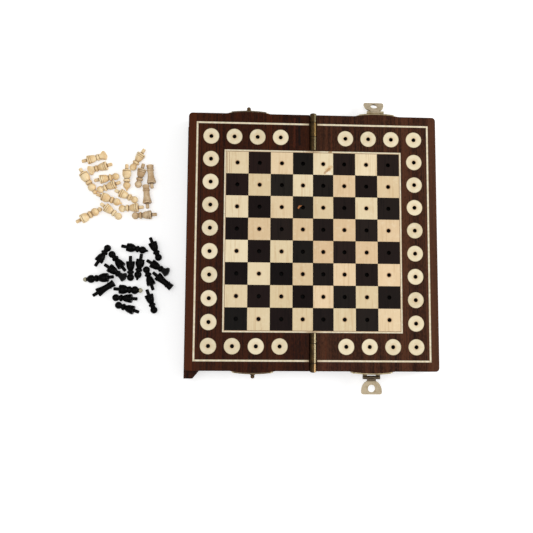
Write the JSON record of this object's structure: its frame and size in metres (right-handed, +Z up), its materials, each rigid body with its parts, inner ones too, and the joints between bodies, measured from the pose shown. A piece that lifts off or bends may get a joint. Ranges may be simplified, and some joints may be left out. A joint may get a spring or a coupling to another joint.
{
  "type": "folding travel chess set",
  "caption": "Folding rosewood peg chess box, open flat, with inlaid board, brass hinges, hooked clasps, a sliding side and turned pegged chessmen lying beside it.",
  "frame": {"origin": "on the table, at the middle of the fold line, at the edge of the left half's underside", "axes": "+X across the fold towards the right half, +Y along the fold towards the far edge, +Z up out of the playing face"},
  "size_m": [0.2908, 0.2396, 0.0218],
  "materials": {
    "rosewood": "waxed, straight dark grain along the fold",
    "maple": "smooth, pale, slightly yellowed",
    "ebony": "smooth, near black with brown streaks",
    "holly": "smooth pale line",
    "bone": "polished bone, faint streaks",
    "boxwood": "turned and polished",
    "black_wood": "turned and polished black",
    "aged_brass": "aged, dull olive brown"
  },
  "bodies": {
    "left_half": {"catch_knobs": "aged_brass", "catch_nails": "aged_brass", "catch_plates": "aged_brass", "hinge_pins": "aged_brass", "left_bottom": "rosewood", "left_dark_squares": "ebony", "left_discs": "bone", "left_hinge_leaves": "aged_brass", "left_hinge_screws": "aged_brass", "left_light_squares": "maple", "left_playing_plate": "rosewood", "left_stringing": "holly", "left_walls": "rosewood"},
    "right_half": {"hasp_nails": "aged_brass", "hasp_pins": "aged_brass", "hasp_plates": "aged_brass", "right_bottom": "rosewood", "right_dark_squares": "ebony", "right_discs": "bone", "right_hinge_leaves": "aged_brass", "right_hinge_screws": "aged_brass", "right_light_squares": "maple", "right_playing_plate": "rosewood", "right_stringing": "holly", "right_walls": "rosewood"},
    "side_slide": {"side_slide": "rosewood"},
    "far_hasp_tab": {"far_hasp_tab": "aged_brass"},
    "near_hasp_tab": {"near_hasp_tab": "aged_brass"},
    "dark_bishop_1": {"dark_bishop_1": "black_wood"},
    "dark_bishop_2": {"dark_bishop_2": "black_wood"},
    "dark_king": {"dark_king": "black_wood"},
    "dark_knight_1": {"dark_knight_1": "black_wood"},
    "dark_knight_2": {"dark_knight_2": "black_wood"},
    "dark_pawn_1": {"dark_pawn_1": "black_wood"},
    "dark_pawn_2": {"dark_pawn_2": "black_wood"},
    "dark_pawn_3": {"dark_pawn_3": "black_wood"},
    "dark_pawn_4": {"dark_pawn_4": "black_wood"},
    "dark_pawn_5": {"dark_pawn_5": "black_wood"},
    "dark_pawn_6": {"dark_pawn_6": "black_wood"},
    "dark_pawn_7": {"dark_pawn_7": "black_wood"},
    "dark_pawn_8": {"dark_pawn_8": "black_wood"},
    "dark_queen": {"dark_queen": "black_wood"},
    "dark_rook_1": {"dark_rook_1": "black_wood"},
    "dark_rook_2": {"dark_rook_2": "black_wood"},
    "light_bishop_1": {"light_bishop_1": "boxwood"},
    "light_bishop_2": {"light_bishop_2": "boxwood"},
    "light_king": {"light_king": "boxwood"},
    "light_knight_1": {"light_knight_1": "boxwood"},
    "light_knight_2": {"light_knight_2": "boxwood"},
    "light_pawn_1": {"light_pawn_1": "boxwood"},
    "light_pawn_2": {"light_pawn_2": "boxwood"},
    "light_pawn_3": {"light_pawn_3": "boxwood"},
    "light_pawn_4": {"light_pawn_4": "boxwood"},
    "light_pawn_5": {"light_pawn_5": "boxwood"},
    "light_pawn_6": {"light_pawn_6": "boxwood"},
    "light_pawn_7": {"light_pawn_7": "boxwood"},
    "light_pawn_8": {"light_pawn_8": "boxwood"},
    "light_queen": {"light_queen": "boxwood"},
    "light_rook_1": {"light_rook_1": "boxwood"},
    "light_rook_2": {"light_rook_2": "boxwood"}
  },
  "joints": [
    {"name": "fold", "type": "hinge", "parent": "left_half", "child": "right_half", "pos_m": [0, 0, 0.01925], "axis": [0, -1, 0], "range_deg": [0, 180]},
    {"name": "side_slide_draw", "type": "slide", "parent": "left_half", "child": "side_slide", "axis": [0, -1, 0], "range_m": [-0.0064, 0.188]},
    {"name": "near_hasp_tab_swing", "type": "hinge", "parent": "right_half", "child": "near_hasp_tab", "pos_m": [0.0471, -0.1077, 0.013], "axis": [-1, 0, 0], "range_deg": [-75, 90]},
    {"name": "far_hasp_tab_swing", "type": "hinge", "parent": "right_half", "child": "far_hasp_tab", "pos_m": [0.052, 0.1077, 0.013], "axis": [1, 0, 0], "range_deg": [-39, 126]},
    {"name": "dark_bishop_1_lift", "type": "slide", "parent": "left_half", "child": "dark_bishop_1", "axis": [0, 0, 1], "range_m": [0, 0.05]},
    {"name": "dark_bishop_2_lift", "type": "slide", "parent": "left_half", "child": "dark_bishop_2", "axis": [0, 0, 1], "range_m": [0, 0.05]},
    {"name": "dark_king_lift", "type": "slide", "parent": "left_half", "child": "dark_king", "axis": [0, 0, 1], "range_m": [0, 0.05]},
    {"name": "dark_knight_1_lift", "type": "slide", "parent": "left_half", "child": "dark_knight_1", "axis": [0, 0, 1], "range_m": [0, 0.05]},
    {"name": "dark_knight_2_lift", "type": "slide", "parent": "left_half", "child": "dark_knight_2", "axis": [0, 0, 1], "range_m": [0, 0.05]},
    {"name": "dark_pawn_1_lift", "type": "slide", "parent": "left_half", "child": "dark_pawn_1", "axis": [0, 0, 1], "range_m": [0, 0.05]},
    {"name": "dark_pawn_2_lift", "type": "slide", "parent": "left_half", "child": "dark_pawn_2", "axis": [0, 0, 1], "range_m": [0, 0.05]},
    {"name": "dark_pawn_3_lift", "type": "slide", "parent": "left_half", "child": "dark_pawn_3", "axis": [0, 0, 1], "range_m": [0, 0.05]},
    {"name": "dark_pawn_4_lift", "type": "slide", "parent": "left_half", "child": "dark_pawn_4", "axis": [0, 0, 1], "range_m": [0, 0.05]},
    {"name": "dark_pawn_5_lift", "type": "slide", "parent": "left_half", "child": "dark_pawn_5", "axis": [0, 0, 1], "range_m": [0, 0.05]},
    {"name": "dark_pawn_6_lift", "type": "slide", "parent": "left_half", "child": "dark_pawn_6", "axis": [0, 0, 1], "range_m": [0, 0.05]},
    {"name": "dark_pawn_7_lift", "type": "slide", "parent": "left_half", "child": "dark_pawn_7", "axis": [0, 0, 1], "range_m": [0, 0.05]},
    {"name": "dark_pawn_8_lift", "type": "slide", "parent": "left_half", "child": "dark_pawn_8", "axis": [0, 0, 1], "range_m": [0, 0.05]},
    {"name": "dark_queen_lift", "type": "slide", "parent": "left_half", "child": "dark_queen", "axis": [0, 0, 1], "range_m": [0, 0.05]},
    {"name": "dark_rook_1_lift", "type": "slide", "parent": "left_half", "child": "dark_rook_1", "axis": [0, 0, 1], "range_m": [0, 0.05]},
    {"name": "dark_rook_2_lift", "type": "slide", "parent": "left_half", "child": "dark_rook_2", "axis": [0, 0, 1], "range_m": [0, 0.05]},
    {"name": "light_bishop_1_lift", "type": "slide", "parent": "left_half", "child": "light_bishop_1", "axis": [0, 0, 1], "range_m": [0, 0.05]},
    {"name": "light_bishop_2_lift", "type": "slide", "parent": "left_half", "child": "light_bishop_2", "axis": [0, 0, 1], "range_m": [0, 0.05]},
    {"name": "light_king_lift", "type": "slide", "parent": "left_half", "child": "light_king", "axis": [0, 0, 1], "range_m": [0, 0.05]},
    {"name": "light_knight_1_lift", "type": "slide", "parent": "left_half", "child": "light_knight_1", "axis": [0, 0, 1], "range_m": [0, 0.05]},
    {"name": "light_knight_2_lift", "type": "slide", "parent": "left_half", "child": "light_knight_2", "axis": [0, 0, 1], "range_m": [0, 0.05]},
    {"name": "light_pawn_1_lift", "type": "slide", "parent": "left_half", "child": "light_pawn_1", "axis": [0, 0, 1], "range_m": [0, 0.05]},
    {"name": "light_pawn_2_lift", "type": "slide", "parent": "left_half", "child": "light_pawn_2", "axis": [0, 0, 1], "range_m": [0, 0.05]},
    {"name": "light_pawn_3_lift", "type": "slide", "parent": "left_half", "child": "light_pawn_3", "axis": [0, 0, 1], "range_m": [0, 0.05]},
    {"name": "light_pawn_4_lift", "type": "slide", "parent": "left_half", "child": "light_pawn_4", "axis": [0, 0, 1], "range_m": [0, 0.05]},
    {"name": "light_pawn_5_lift", "type": "slide", "parent": "left_half", "child": "light_pawn_5", "axis": [0, 0, 1], "range_m": [0, 0.05]},
    {"name": "light_pawn_6_lift", "type": "slide", "parent": "left_half", "child": "light_pawn_6", "axis": [0, 0, 1], "range_m": [0, 0.05]},
    {"name": "light_pawn_7_lift", "type": "slide", "parent": "left_half", "child": "light_pawn_7", "axis": [0, 0, 1], "range_m": [0, 0.05]},
    {"name": "light_pawn_8_lift", "type": "slide", "parent": "left_half", "child": "light_pawn_8", "axis": [0, 0, 1], "range_m": [0, 0.05]},
    {"name": "light_queen_lift", "type": "slide", "parent": "left_half", "child": "light_queen", "axis": [0, 0, 1], "range_m": [0, 0.05]},
    {"name": "light_rook_1_lift", "type": "slide", "parent": "left_half", "child": "light_rook_1", "axis": [0, 0, 1], "range_m": [0, 0.05]},
    {"name": "light_rook_2_lift", "type": "slide", "parent": "left_half", "child": "light_rook_2", "axis": [0, 0, 1], "range_m": [0, 0.05]}
  ]
}
